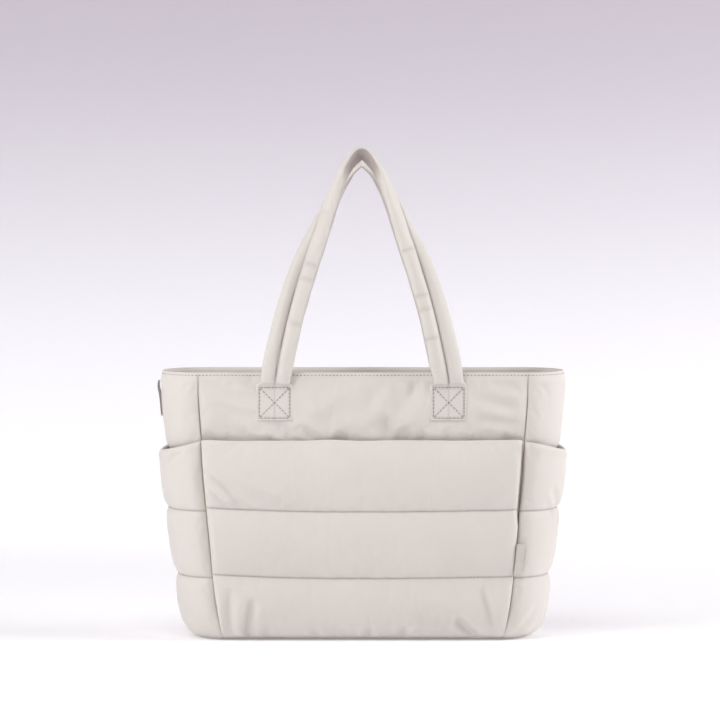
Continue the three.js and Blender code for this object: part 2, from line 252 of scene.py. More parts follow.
bag = {
    "rimWidth": 0.440,
    "baseWidth": 0.384,
    "height": 0.290,
    "rimDepth": 0.112,
    "baseDepth": 0.132,
    "endReach": 0.039,
    "wall": 0.0045,
    "baseRadius": 0.018,
    "gap": 0.0003,
    "pocketHeight": 0.215,
    "quiltLines": [0, 0.321, 0.657, 1],  # shares of pocketHeight
    "lowRise": 0.042,
    "edgeRoll": 0.013,
    "sections": [  # share of the height, widening, narrowing, reach
        (0, 0, 0, 1.05),
        (0.145, 0.15, -0.25, 0.96),
        (0.38, 0.39, -0.3, 0.96),
        (0.62, 0.63, 0.2, 0.96),
        (0.74, 0.77, 0.45, 1.0),
        (0.89, 0.925, 0.76, 1.03),
        (1, 1, 1, 1.06),
    ],
}
widening = readTable(bag["sections"], 1)
narrowing = readTable(bag["sections"], 2)
reaching = readTable(bag["sections"], 3)
radius = bag["baseRadius"]
pocketTop = bag["pocketHeight"]
lineHeights = [share * pocketTop for share in bag["quiltLines"]]


def outlineAt(z):
    share = np.clip(np.asarray(z, float), 0, bag["height"]) / bag["height"]
    halfWidth = (bag["baseWidth"] + (bag["rimWidth"] - bag["baseWidth"]) * widening(share)) / 2
    halfDepth = (bag["baseDepth"] + (bag["rimDepth"] - bag["baseDepth"]) * narrowing(share)) / 2
    reach = bag["endReach"] * reaching(share)
    return halfWidth - reach, reach, halfDepth


def facePoint(z, across, out):
    z, across, out = np.broadcast_arrays(z, across, out)
    seam, reach, halfDepth = outlineAt(z)
    return np.stack([across * seam, -(halfDepth + out), z], axis=-1)


def endPoint(z, turn, out):
    z, turn, out = np.broadcast_arrays(z, turn, out)
    seam, reach, halfDepth = outlineAt(z)
    angle = turn * np.pi / 2
    outX, outY = np.cos(angle) / reach, np.sin(angle) / halfDepth
    length = np.hypot(outX, outY)
    x = seam + reach * np.cos(angle) + out * outX / length
    return np.stack([x, halfDepth * np.sin(angle) + out * outY / length, z], axis=-1)


def tuckAt(z):
    below = np.clip(radius - z, 0, radius)
    return radius - np.sqrt(radius**2 - below**2)


def channelFill(z):
    fill = np.zeros_like(z)
    for low, high in zip(lineHeights[:-1], lineHeights[1:]):
        along = np.clip((z - low) / (high - low), 0, 1)
        inside = (z > low) & (z <= high)
        fill = np.where(inside, np.maximum(np.sin(np.pi * along**0.9), 0) ** 0.55, fill)
    return fill * ease(0, bag["lowRise"], z)


def roll(distance, width):
    left = 1 - np.clip(distance / width, 0, 1)
    return np.sqrt(1 - left**2)


halfEnd = 0.5 * math.pi * math.sqrt((bag["endReach"] ** 2 + (bag["baseDepth"] / 2) ** 2) / 2)
halfPocket = float(outlineAt(pocketTop / 2)[0])


def placesAcross(half, step):
    # shares of a half width from seam to seam, close together beside the seams
    beside = np.array([0, 0.0006, 0.0014, 0.0025, 0.004, 0.006, 0.0085])
    middle = spread(-(half - 0.0112), half - 0.0112, step)
    places = np.concatenate([-(half - beside), middle, (half - beside)[::-1]])
    return places / half


def creasesAt(folds, across, z, half):
    # each fold: from across, up to across, up, with its depth and width in mm
    deepest = np.zeros(np.broadcast(across, z).shape)
    for fromAcross, fromUp, toAcross, toUp, depth, width in folds:
        start = np.array([fromAcross * half, fromUp * pocketTop])
        line = np.array([toAcross * half, toUp * pocketTop]) - start
        x, y = across * half - start[0], z - start[1]
        along = np.clip((x * line[0] + y * line[1]) / (line @ line), 0, 1)
        away = np.hypot(x - along * line[0], y - along * line[1]) / (width / 1000)
        taper = np.clip(np.minimum(along, 1 - along) * 5, 0, 1) ** 0.5
        ridge = 0.6 * bell(away - 1.8, 0.8)
        deepest = deepest + 1.35 * depth / 1000 * (np.exp(-(away**2)) - ridge) * taper
    return deepest


def puckersAt(distance, along, depth, reachOut, pitch, seed):
    # small gathers that run away from a sewn line
    size = noiseAt(along / pitch, along * 0 + 0.5, seed)
    size = size + 0.5 * noiseAt(along / pitch * 2.3, distance / 0.02, seed + 1)
    return depth * np.clip(size, -0.3, 1) * np.exp(-np.abs(distance) / reachOut)


def linear(code):
    # an sRGB hex colour as linear numbers
    parts = [int(code[i : i + 2], 16) / 255 for i in (1, 3, 5)]
    return (*[p / 12.92 if p <= 0.04045 else ((p + 0.055) / 1.055) ** 2.4 for p in parts], 1)


def newMaterial(name):
    material = bpy.data.materials.new(name)
    material.use_nodes = True
    return material, material.node_tree.nodes["Principled BSDF"]


def addNode(material, kind, settings={}, inputs={}):
    node = material.node_tree.nodes.new(kind)
    for name, value in settings.items():
        setattr(node, name, value)
    for name, value in inputs.items():
        if isinstance(value, bpy.types.NodeSocket):
            material.node_tree.links.new(value, node.inputs[name])
        else:
            node.inputs[name].default_value = value
    return node


fabric = {
    "lit": "#dcd7d1",
    "shaded": "#d7d1ca",
    # painted shade: the colour that seams, quilt lines, folds and the loop tops' undersides are darkened
    # towards
    "seam": "#a39493",
    # painted light: the facing is coloured lighter than the shell to make up for the shade inside the mouth
    "facing": "#e6e0da",
    "tab": "#c8bfb9",
    "thread": "#8a7b7c",
    "spacing": 0.0009,  # 0.2 mm in the real nylon, drawn coarser so that it shows
    "crinkle": 0.011,
    "mottle": 0.055,
}


def wovenNylon(name, light, dark, weaveDepth, crinkleDepth, roughness, sheen):
    # woven nylon: smooth fine threads give a soft low sheen, and the thin cloth crinkles over its filling
    material, shader = newMaterial(name)
    place = addNode(material, "ShaderNodeTexCoord")
    cloth = addNode(material, "ShaderNodeUVMap", {"uv_map": "cloth"})
    mottle = addNode(material, "ShaderNodeTexNoise", {}, {
        "Vector": place.outputs["Object"], "Scale": 1 / fabric["mottle"], "Detail": 3.0, "Roughness": 0.5})
    tone = addNode(material, "ShaderNodeMix", {"data_type": "RGBA"}, {
        "Factor": mottle.outputs["Fac"], "A": linear(light), "B": linear(dark)})
    # painted shade: the seam attribute darkens the cloth in seams, quilt lines, folds and under the loop
    # tops
    seam = addNode(material, "ShaderNodeAttribute", {"attribute_name": "seam"})
    sewn = addNode(material, "ShaderNodeMix", {"data_type": "RGBA"}, {
        "Factor": seam.outputs["Fac"], "A": tone.outputs["Result"], "B": linear(fabric["seam"])})
    weave = addNode(material, "ShaderNodeTexChecker", {}, {
        "Vector": cloth.outputs["UV"], "Scale": 1 / fabric["spacing"],
        "Color1": (1, 1, 1, 1), "Color2": (0.25, 0.25, 0.25, 1)})
    crinkle = addNode(material, "ShaderNodeTexNoise", {}, {
        "Vector": place.outputs["Object"], "Scale": 1 / fabric["crinkle"], "Detail": 4.0,
        "Roughness": 0.55, "Distortion": 0.6})
    coarse = addNode(material, "ShaderNodeBump", {}, {
        "Strength": 0.5, "Distance": crinkleDepth, "Height": crinkle.outputs["Fac"]})
    fine = addNode(material, "ShaderNodeBump", {}, {
        "Strength": 0.4, "Distance": weaveDepth, "Height": weave.outputs["Color"],
        "Normal": coarse.outputs["Normal"]})
    rough = addNode(material, "ShaderNodeMapRange", {}, {
        "Value": crinkle.outputs["Fac"], "To Min": roughness - 0.05, "To Max": roughness + 0.05})
    links = material.node_tree.links
    links.new(sewn.outputs["Result"], shader.inputs["Base Color"])
    links.new(rough.outputs["Result"], shader.inputs["Roughness"])
    links.new(fine.outputs["Normal"], shader.inputs["Normal"])
    shader.inputs["IOR"].default_value = 1.5
    shader.inputs["Specular IOR Level"].default_value = 0.35
    shader.inputs["Sheen Weight"].default_value = sheen
    shader.inputs["Sheen Roughness"].default_value = 0.45
    return material


quiltedNylon = wovenNylon("quilted_nylon", fabric["lit"], fabric["shaded"], 0.00006, 0.00032, 0.55, 0.12)
strapNylon = wovenNylon("stuffed_strap_nylon", fabric["lit"], fabric["shaded"], 0.00006, 0.0004, 0.57, 0.12)
# the facing's cloth is painted lighter, standing in for light inside the mouth
facingNylonPaintedLight = wovenNylon("facing_nylon_painted_light", fabric["facing"], fabric["shaded"], 0.00008, 0.0003, 0.62, 0.08)
tabTape = wovenNylon("woven_tab_tape", fabric["tab"], fabric["shaded"], 0.00014, 0.0002, 0.7, 0.1)


def sewingThread():
    # twisted polyester thread: satin, a little darker than the cloth that it sinks into
    material, shader = newMaterial("polyester_sewing_thread")
    place = addNode(material, "ShaderNodeTexCoord")
    twist = addNode(material, "ShaderNodeTexNoise", {}, {
        "Vector": place.outputs["Object"], "Scale": 1500.0, "Detail": 1.0})
    tone = addNode(material, "ShaderNodeMix", {"data_type": "RGBA"}, {
        "Factor": twist.outputs["Fac"], "A": linear(fabric["thread"]), "B": linear("#7f7071")})
    material.node_tree.links.new(tone.outputs["Result"], shader.inputs["Base Color"])
    shader.inputs["Roughness"].default_value = 0.45
    return material


thread = sewingThread()


def dress(piece, material, slot, *nodes):
    piece.data.materials.clear()
    piece.data.materials.append(material)
    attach(piece, "root")
    if nodes:
        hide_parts(*nodes)
    return piece


print("materials made")

walls = {
    "step": 0.0028,
    "seamDip": 0.0022,
    "seamWidth": 0.0065,
    "rimThickness": 0.0034,
    "rimPinch": 0.009,  # the height over which the wall thins to its rim
    "stitchDrop": 0.0032,  # from the rim down to its row of stitches
    "bandPuff": 0.0022,
    "hemLine": 0.2165,  # where the padding of the upper band ends, behind the pocket's hem
    "hemDip": 0.0015,
    "backPuff": 0.006,
    "strapAt": 0.0945,  # how far each sewn strap end is from the middle
}
# folds of the upper front band, as shares of the half width and of pocketHeight: depth and width in mm
frontBandFolds = [
    (-0.95, 1.27, -0.6, 1.2, 0.9, 6),
    (-0.9, 1.2, -0.66, 1.1, 0.7, 6),
    (-0.6, 1.1, -0.42, 1.035, 1.1, 6),
    (-0.42, 1.09, -0.3, 1.02, 0.9, 5),
    (0.33, 1.33, 0.29, 1.22, 0.9, 4),
    (0.36, 1.29, 0.08, 1.05, 1.3, 9),
    (0.1, 1.27, -0.06, 1.1, 0.8, 8),
    (0.68, 1.3, 0.92, 1.27, 1.3, 6),
    (0.66, 1.25, 0.94, 1.16, 2.0, 7),
    (0.7, 1.12, 0.95, 1.09, 1.2, 5),
    (-0.05, 1.2, -0.3, 1.07, 1.0, 9),
    (-0.5, 1.27, -0.3, 1.1, 0.9, 8),
    (0.05, 1.1, 0.25, 1.03, 1.2, 8),
]


def wallRows(heights):
    # the outer rows: round the base's edge and then up to the rim
    angle = np.linspace(0, np.pi / 2, 8)[:-1]
    z = np.concatenate([radius - radius * np.cos(angle), heights])
    out = np.concatenate([radius * np.sin(angle) - radius, np.zeros(len(heights))])
    return z[:, None], out[:, None]


def closeWall(name, place, outer, places, half, paintedSeamShade):
    # the wall's rounded rim and its inner side are added to its outer side
    top = bag["height"]
    rim = walls["rimThickness"]
    middle = -0.0005 - rim / 2
    angle = np.linspace(0, np.pi, 7)[1:-1, None]
    lapped = places[None] * (1 + 0.0012 / half)  # the rim laps over its neighbour at the corner seams
    over = place(top - rim / 2 + rim / 2 * np.sin(angle), lapped, middle + rim / 2 * np.cos(angle))
    inside = np.concatenate([spread(0.05, top - 0.004, 0.02)[::-1], [0.035, radius]])[:, None]
    thick = rim + (bag["wall"] - rim) * ease(0, walls["rimPinch"], top - inside)
    edge = roll((1 - np.abs(places[None])) * half, walls["seamWidth"])
    low = ease(0, 0.02, top - inside)
    sunk = -walls["seamDip"] * low
    inner = place(inside, places[None], sunk + (-thick - sunk) * (1 - low + low * edge))
    angle = np.linspace(np.pi / 2, 0, 5)[1:, None]
    small = radius - bag["wall"] * np.array([1, 1, 0.7, 0])[:, None]
    under = place(radius - small * np.cos(angle), places[None], small * np.sin(angle) - radius)
    points = np.concatenate([outer, over, inner, under])
    # the outer side carries painted shade along its seams and quilt lines
    return finish(paintedGrid(name, points, paintedSeamShade))


def wallSide(z, out, places, half, puff):
    # the outer side's stand-off: puffed channels, and a dip at the seams on both sides
    distance = (1 - np.abs(places[None])) * half
    edge = roll(distance, walls["seamWidth"])
    dip = walls["seamDip"] * (1 - edge) * np.minimum(z / radius, 1) * (1 - ease(0.272, 0.287, z))
    top = bag["height"]
    rim = ease(walls["rimPinch"], 0, top - z) * 0.0005
    stitch = 0.0006 * bell(top - z - walls["stitchDrop"], 0.0012)
    return out + puff * roll(distance, bag["edgeRoll"]) - dip - rim - stitch


def cornerShade(places, half, z):
    # painted shade along the corner seams
    distance = (1 - np.abs(places[None])) * half
    return 0.55 * bell(distance, 0.0008) * np.ones_like(z)


def bandPuffAt(z, low):
    # the plain band between the pocket's hem and the rim is filled a little
    share = np.clip((z - low) / (bag["height"] - 0.004 - low), 0, 1)
    return walls["bandPuff"] * np.sin(np.pi * share) ** 0.6


def frontWall():
    places = placesAcross(halfPocket, walls["step"])
    line = walls["hemLine"]
    plain = spread(radius, 0.2, 0.014)
    band = np.concatenate([spread(0.2, line, 0.0028)[1:], spread(line, 0.2895 - 0.0016, 0.0026, 0.03)[1:]])
    z, out = wallRows(np.concatenate([plain, band]))
    x = places[None] * outlineAt(z)[0]
    puff = bandPuffAt(z, line) - walls["hemDip"] * bell(z - line, 0.006)
    crease = creasesAt(frontBandFolds, places[None], z, halfPocket)
    gather = puckersAt(z - line, x, 0.003, 0.012, 0.021, 3) * (z > 0.2)
    ticks = puckersAt(z - 0.287, x, 0.0006, 0.006, 0.011, 5) * (z > 0.26)
    stand = wallSide(z, out, places, halfPocket, puff - gather - ticks)
    outer = facePoint(z, places[None], stand)
    first = len(z) - len(band)
    part = outer[first:]
    held = heldPoints(part, 3, 1, 3, z[first:], [line])
    sewn = np.abs(np.abs(part[..., 0]) - walls["strapAt"]) < 0.019
    held |= sewn & (part[..., 2] > 0.236) & (part[..., 2] < 0.275)
    outer[first:] = blowUp(part, held, 1.2, 0.012, 0.004)
    besideEnd = np.abs(np.abs(x) - walls["strapAt"])
    aboveEnd = np.abs(z - bag["height"] + 0.0325)
    clear = 1 - (1 - ease(0.0195, 0.0245, besideEnd)) * (1 - ease(0.0195, 0.0245, aboveEnd))
    outer[..., 1] += 1.15 * crease * clear * (1 - ease(0.272, 0.285, z))
    return closeWall("frontPanel", facePoint, outer, places, halfPocket, cornerShade(places, halfPocket, z))


def backWall():
    places = placesAcross(halfPocket, 0.0034)
    heights = [spread(low, high, 0.003, 0.06)[1:]
        for low, high in zip([radius] + lineHeights[1:-1], lineHeights[1:])]
    band = spread(pocketTop, 0.2879, 0.0034, 0.05)[1:]
    z, out = wallRows(np.concatenate([[radius]] + heights + [band]))
    x = places[None] * outlineAt(z)[0]
    puff = walls["backPuff"] * 0.75 * channelFill(z) + np.where(z > pocketTop, bandPuffAt(z, pocketTop), 0)
    gather = sum(puckersAt(z - line, x, 0.0009, 0.007, 0.012, 11 + i)
        for i, line in enumerate(lineHeights[1:]))
    outer = facePoint(z, places[None], wallSide(z, out, places, halfPocket, puff - gather * (z > radius)))
    held = heldPoints(outer, 3, 8, 3, z, lineHeights[1:])
    held |= (np.abs(np.abs(outer[..., 0]) - walls["strapAt"]) < 0.0215) & (outer[..., 2] > 0.234)
    outer = blowUp(outer, held, 3, 0.016, 0.006)
    # painted shade along the corner seams and the quilt lines
    shade = cornerShade(places, halfPocket, z)
    for line in lineHeights[1:]:
        shade = np.maximum(shade, 0.7 * bell(z - line, 0.0009))
    return closeWall("backPanel", lambda *a: turned(facePoint(*a)), turned(outer), places, halfPocket,
        shade)


sideRoom = [  # share of pocketHeight, slot, dent
    (0, 0, 0),
    (0.186, 0.05, 0.03),
    (0.307, 0.2, 0.3),
    (0.5, 0.5, 0.75),
    (0.642, 0.85, 1),
    (0.8, 0.9, 1),
    (0.92, 1, 0.6),
    (0.975, 1, 0),
]
sideSlotShare = readTable(sideRoom, 1)
sideDentShare = readTable(sideRoom, 2)
side = {
    "slot": 0.0052,
    "dent": 0.006,
    "puff": 0.0035,
    "bow": 0.65,
    "drop": 0.013,
    "thick": 0.0022,
}


def endWall(name, turnRound, seed):
    places = placesAcross(halfEnd, walls["step"])
    hem = pocketTop - 0.007
    plain = spread(radius, 0.186, 0.012)
    band = spread(0.186, 0.2879, 0.0027)[1:]
    z, out = wallRows(np.concatenate([plain, band]))
    angle = places[None] * np.pi / 2
    dent = side["dent"] * sideDentShare(z / pocketTop) * np.cos(angle) ** 2
    line = hem - side["drop"] * 0.5 * np.cos(angle)
    puff = bandPuffAt(z, line) * 0.8 - 0.0016 * bell(z - line, 0.007)
    gather = puckersAt(z - line, places[None] * halfEnd, 0.0016, 0.012, 0.02, seed) * (z > 0.19)
    wave = 0.0007 * noiseAt(places[None] * halfEnd / 0.03, z / 0.025, seed + 4)
    wave = wave * ease(0.2, 0.23, z) * (1 - ease(0.27, 0.285, z))
    stand = wallSide(z, out, places, halfEnd, puff - gather + wave) - dent
    outer = endPoint(z, places[None], stand)
    first = len(z) - len(band)
    part = outer[first:]
    outer[first:] = blowUp(part, heldPoints(part, 3, 3, 3), 0.8, 0.008, 0.003)
    shade = cornerShade(places, halfEnd, z)
    if turnRound:
        return closeWall(name, lambda *a: turned(endPoint(*a)), turned(outer), places, halfEnd, shade)
    return closeWall(name, endPoint, outer, places, halfEnd, shade)


def basePad():
    seam, reach, halfDepth = (float(v) for v in outlineAt(0))
    across = np.linspace(-1, 1, 91)[None]
    deep = halfDepth - radius
    skins = []
    for layer in (0, 1):
        t = np.sin(np.linspace(-1, 1, 35) * np.pi / 2)[:, None]
        t = t if layer == 0 else t[::-1]
        half = seam + (reach - radius) * np.sqrt(np.clip(1 - t**2, 0, 1))
        distance = np.minimum((1 - np.abs(across)) * half, (1 - np.abs(t)) * deep)
        edge = roll(distance, 0.008)
        z = 0.0012 * (1 - edge) if layer == 0 else 0.0012 + 0.0035 * edge
        skins.append(np.stack(np.broadcast_arrays(across * half, -t * deep, z), axis=-1))
    return finish(paintedGrid("basePanel", np.concatenate([skins[0], skins[1][1:]])))


for piece, node, fill in [
    (frontWall(), "front_panel", 0.4),
    (backWall(), "back_panel", 0.6),
    (endWall("rightGusset", False, 21), "right_gusset", 0.4),
    (endWall("leftGusset", True, 31), "left_gusset", 0.4),
    (basePad(), "base_panel", 0.4),
]:
    dress(piece, quiltedNylon, "shell", node)
print("walls made")

pocket = {
    "foot": 0.0024,
    "slot": 0.009,
    "thick": 0.0022,
    "hem": 0.0046,  # thickness of the folded top edge
    "puff": 0.0072,
    "step": 0.0026,
    "rows": 0.0023,
    "rightStand": 0.0024,  # how far the pocket's right edge stands off the corner seam
    "leftStand": -0.0004,
}
frontRoom = [
    (0, 0),
    (0.12, 0.3),
    (0.307, 0.5),
    (0.642, 0.95),
    (0.9, 0.75),
    (1, 0.32),
]
frontSlotShare = readTable(frontRoom, 1)
frontFolds = [
    (-0.985, 0.86, -0.76, 0.66, 1.7, 4.5),
    (-0.985, 0.79, -0.86, 0.655, 1.6, 3.5),
    (-0.9, 0.8, -0.5, 0.665, 0.9, 6),
    (-0.97, 0.7, -0.9, 0.655, 1.3, 3),
    (0.985, 0.84, 0.8, 0.66, 0.7, 7),
    (-0.945, 0.03, -0.9, 0.26, 1.9, 5.5),
    (-0.83, 0.0, -0.75, 0.21, 2.9, 5.5),
    (-0.7, 0.0, -0.66, 0.08, 1.2, 4),
    (0.925, 0.05, 0.79, 0.27, 1.9, 5),
    (0.825, 0.01, 0.65, 0.12, 2.7, 5.5),
    (0.75, 0.07, 0.3, 0.12, 1.5, 11),
    (0.03, 0.0, 0.05, 0.07, 1.8, 5),
    (0.28, 0.0, 0.3, 0.08, 1.8, 5),
    (-0.35, 0.0, -0.33, 0.07, 1.4, 5),
    (-0.1, 0.0, -0.16, 0.05, 1.2, 5),
]
# the pocket's edge in plan: share of the roll, inwards in mm, share of the stand-off
edgeTable = [(0, 0, 0), (0.15, 0.9, 0.08), (0.32, 1.0, 0.3), (0.5, 1.15, 0.56), (0.68, 2.6, 0.8),
    (0.84, 6, 0.95), (1, 12, 1)]
edgeIn = readTable(edgeTable, 1)
edgeOut = readTable(edgeTable, 2)


def quiltShade(z, lines, width=0.0011):
    return sum(bell(z - line, width) for line in lines)


def frontPocket():
    roll01 = np.array([0, 0.08, 0.17, 0.27, 0.38, 0.49, 0.6, 0.7, 0.8, 0.9, 1.0])
    middle = spread(-(halfPocket - 0.012), halfPocket - 0.012, pocket["step"])[1:-1]
    rollShare = np.concatenate([roll01, np.ones(len(middle)), roll01[::-1]])[None]
    x = np.concatenate([np.full(11, -halfPocket), middle, np.full(11, halfPocket)])[None]
    sign = np.sign(x)
    atEdge = np.concatenate([np.ones(11), np.zeros(len(middle)), np.ones(11)])[None]
    low = pocket["foot"]
    heights = [spread(a, b, pocket["rows"], 0.06)[1:]
        for a, b in zip([low] + lineHeights[1:-1], lineHeights[1:])]
    z = np.concatenate([[low]] + heights)[:, None]

    def acrossAt(z):
        # where each column stands, as a share of the half width: the edges stand off the corner seams
        wider = (pocket["rightStand"] - pocket["leftStand"]) * ease(0.118, 0.142, z)
        stand = pocket["leftStand"] + np.where(sign < 0, 0, wider)
        inward = edgeIn(rollShare) / 1000
        inward = inward + (stand - 0.001) * ease(0, 0.15, rollShare) * (1 - ease(0.5, 1, rollShare))
        return np.where(atEdge > 0, sign * (halfPocket - inward), x) / halfPocket

    across = acrossAt(z)
    xPlace = across * outlineAt(z)[0]
    edge = edgeOut(rollShare)
    share = z / pocketTop
    room = -tuckAt(z) + bag["gap"] + pocket["slot"] * frontSlotShare(share) * edge
    hemBlend = ease(0.012, 0.0, pocketTop - z)
    base = pocket["thick"] + (pocket["hem"] - pocket["thick"]) * hemBlend
    bottom = roll(z - low, 0.006)
    crease = creasesAt(frontFolds, across, z, halfPocket) * edge
    gather = sum(puckersAt(z - line, xPlace, 0.0011, 0.006, 0.0105, 40 + i)
        for i, line in enumerate(lineHeights[1:3]))
    gather = gather + puckersAt(z - low, xPlace, 0.0022, 0.012, 0.017, 47)
    gather = gather + puckersAt(z - pocketTop, xPlace, 0.0007, 0.006, 0.012, 48)
    puff = pocket["puff"] * 0.78 * channelFill(z)
    outer = room + (base * bottom + puff - gather * 0.6 * bottom) * edge
    points = np.stack(np.broadcast_arrays(xPlace, -(outlineAt(z)[2] + outer), z), axis=-1).copy()
    wobble = 0.0005 * noiseAt(xPlace / 0.03, z * 0 + 0.5, 51) * quiltShade(z, lineHeights[1:3], 0.01)
    wobble = wobble + 0.0008 * noiseAt(xPlace / 0.035, z * 0, 52) * ease(0.02, 0, pocketTop - z)
    lift = 0.0042 * np.where(sign < 0, 1, 0.6) * np.abs(across) ** 2.2 - 0.0006
    points[..., 2] += wobble * edge + lift * ease(0, lineHeights[1], z) * ease(pocketTop, lineHeights[2], z)
    points = blowUp(points, heldPoints(points, 6, 3, 1, z, lineHeights[1:3]), 4, 0.005, 0.008)
    nearLine = quiltShade(z, lineHeights[1:3], 0.0014)
    points[..., 1] += (crease + 0.5 * gather * edge) * ease(0, 0.004, z - low) * (1 - nearLine)
    # painted shade along the quilt lines and in the folds
    shade = 0.62 * quiltShade(z, lineHeights[1:3], 0.0009) * np.ones_like(edge) * ease(0, 0.5, edge)
    shade = np.maximum(shade, 0.14 * ease(0.0008, 0.0035, crease) * np.ones_like(z))
    # over the folded top edge and down the inner side
    top = points[-1]
    fold = pocket["hem"] / 2
    angle = np.linspace(0, np.pi, 9)[1:, None]
    back, up = (1 - np.cos(angle)) * fold * edge, np.sin(angle) * fold * edge
    drop = np.stack(np.broadcast_arrays(0 * angle, back, up), axis=-1)
    over = top[None] + drop
    inside = spread(low, pocketTop - 0.004, 0.012)[::-1][:, None]
    roomIn = -tuckAt(inside) + bag["gap"] + pocket["slot"] * frontSlotShare(inside / pocketTop) * edge
    inner = np.stack(np.broadcast_arrays(
        acrossAt(inside) * outlineAt(inside)[0], -(outlineAt(inside)[2] + roomIn), inside), axis=-1).copy()
    inner[-1] = points[0]
    for column in (0, -1):
        inner[:, column] = readLine(inside[:, 0], z[:, 0], points[:, column])
    piece = paintedGrid("frontPocket", np.concatenate([points, over, inner]), shade)
    lines = [points[np.argmin(np.abs(z[:, 0] - line))] for line in lineHeights[1:3]]
    return finish(piece), lines


frontPocketPiece, frontLines = frontPocket()
dress(frontPocketPiece, quiltedNylon, "shell", "front_pocket")
print("front pocket made")

sideFolds = {
    "right": [(-0.55, 0.78, -0.2, 0.62, 1.6, 5), (-0.35, 0.68, -0.28, 0.56, 1.1, 4),
        (-0.8, 0.04, -0.55, 0.16, 1.0, 5), (0.5, 0.7, 0.2, 0.6, 1.0, 6)],
    "left": [(0.75, 0.97, 0.45, 0.93, 1.2, 4), (0.6, 0.04, 0.4, 0.2, 1.0, 6),
        (-0.6, 0.5, -0.3, 0.36, 0.8, 6)],
}


def sidePocket(name, folds, turnRound, seed):
    places = placesAcross(halfEnd, 0.0026)
    low = pocket["foot"]
    heights = [spread(a, b, 0.0026, 0.06)[1:] for a, b in zip([low] + lineHeights[1:-1], lineHeights[1:])]
    level = np.concatenate([[low]] + heights)[:, None]
    angle = places[None] * np.pi / 2
    top = pocketTop - side["drop"] * np.cos(angle)
    lastLine = lineHeights[2]
    z = np.where(level <= lastLine, level, lastLine
        + (level - lastLine) / (pocketTop - lastLine) * (top - lastLine))
    z = z + 0 * angle
    distance = (1 - np.abs(places[None])) * halfEnd
    edge = roll(distance, bag["edgeRoll"])
    fill = channelFill(level)
    bow = side["bow"] * side["puff"] * fill
    room = bag["gap"] - tuckAt(z) + (side["slot"] * sideSlotShare(z / pocketTop) + bow) * edge
    hem = ease(0.012, 0, pocketTop - level)
    base = side["thick"] + (0.0042 - side["thick"]) * hem
    bottom = roll(level - low, 0.006)
    along = places[None] * halfEnd
    gather = sum(puckersAt(level - line, along, 0.001, 0.006, 0.0105, seed + i)
        for i, line in enumerate(lineHeights[1:3]))
    gather = gather + puckersAt(level - low, along, 0.0018, 0.012, 0.016, seed + 5)
    crease = creasesAt(folds, places[None], level, halfEnd) * edge
    puff = (1 - side["bow"]) * side["puff"] * fill + 0.0006 * fill
    puff = puff - 0.001 * quiltShade(level, lineHeights[1:3], 0.004)
    stand = room + (base * bottom + puff - gather * 0.6 * bottom) * edge
    points = endPoint(z, places[None], stand)
    wobble = 0.0008 * noiseAt(along / 0.03, level * 0, seed + 9) * ease(0.02, 0, pocketTop - level)
    points[..., 2] += wobble * edge
    points = blowUp(points, heldPoints(points, 4, 3, 1, level, lineHeights[1:3]), 2.2, 0.006, 0.004)
    inward = endPoint(z, places[None], stand - 0.001) - endPoint(z, places[None], stand + 0.001)
    inward = inward / np.maximum(np.linalg.norm(inward, axis=2, keepdims=True), 1e-9)
    nearLine = quiltShade(level, lineHeights[1:3], 0.0014)
    sunk = (crease + 0.5 * gather * edge) * ease(0, 0.004, level - low) * (1 - nearLine)
    points = points + inward * sunk[..., None]
    # painted shade along the quilt lines and beside the corner seam
    shade = 0.7 * quiltShade(level, lineHeights[1:3], 0.0009) * ease(0, 0.5, edge)
    shade = np.maximum(shade, bell(distance, 0.0012) * 0.15)
    fold = 0.0021
    turn = np.linspace(0, np.pi, 9)[1:, None]
    lip = endPoint(z[-1:] + np.sin(turn) * fold * edge, places[None],
        (room + base * edge)[-1:] - (1 - np.cos(turn)) * fold * edge)
    lip = lip + (points[-1] - endPoint(z[-1:], places[None], (room + base * edge)[-1:])[0])[None]
    insideLevel = spread(low, pocketTop - 0.006, 0.012)[::-1][:, None]
    insideZ = np.where(insideLevel <= lastLine, insideLevel,
        lastLine + (insideLevel - lastLine) / (pocketTop - lastLine) * (top - lastLine))
    bowIn = side["bow"] * side["puff"] * channelFill(insideLevel)
    roomIn = bag["gap"] - tuckAt(insideZ) + (side["slot"] * sideSlotShare(insideZ / pocketTop)
        + bowIn) * edge
    inner = endPoint(insideZ, places[None], roomIn)
    inner[-1] = points[0]
    for column in (0, -1):
        inner[:, column] = readLine(insideLevel[:, 0], level[:, 0], points[:, column])
    full = np.concatenate([points, lip, inner])
    if turnRound:
        full = turned(full)
        points = turned(points)
    lines = [points[np.argmin(np.abs(level[:, 0] - line))] for line in lineHeights[1:3]]
    return finish(paintedGrid(name, full, shade)), lines


rightPocket, rightLines = sidePocket("rightSidePocket", sideFolds["right"], False, 61)
leftPocket, leftLines = sidePocket("leftSidePocket", sideFolds["left"], True, 81)
for piece, node in [(rightPocket, "right_side_pocket"), (leftPocket, "left_side_pocket")]:
    dress(piece, quiltedNylon, "shell", node)
print("side pockets made")

facing = {
    "drop": 0.040,
    "below": 0.0009,  # from the rim's top down to the facing's edge
    "thick": 0.0012,
}


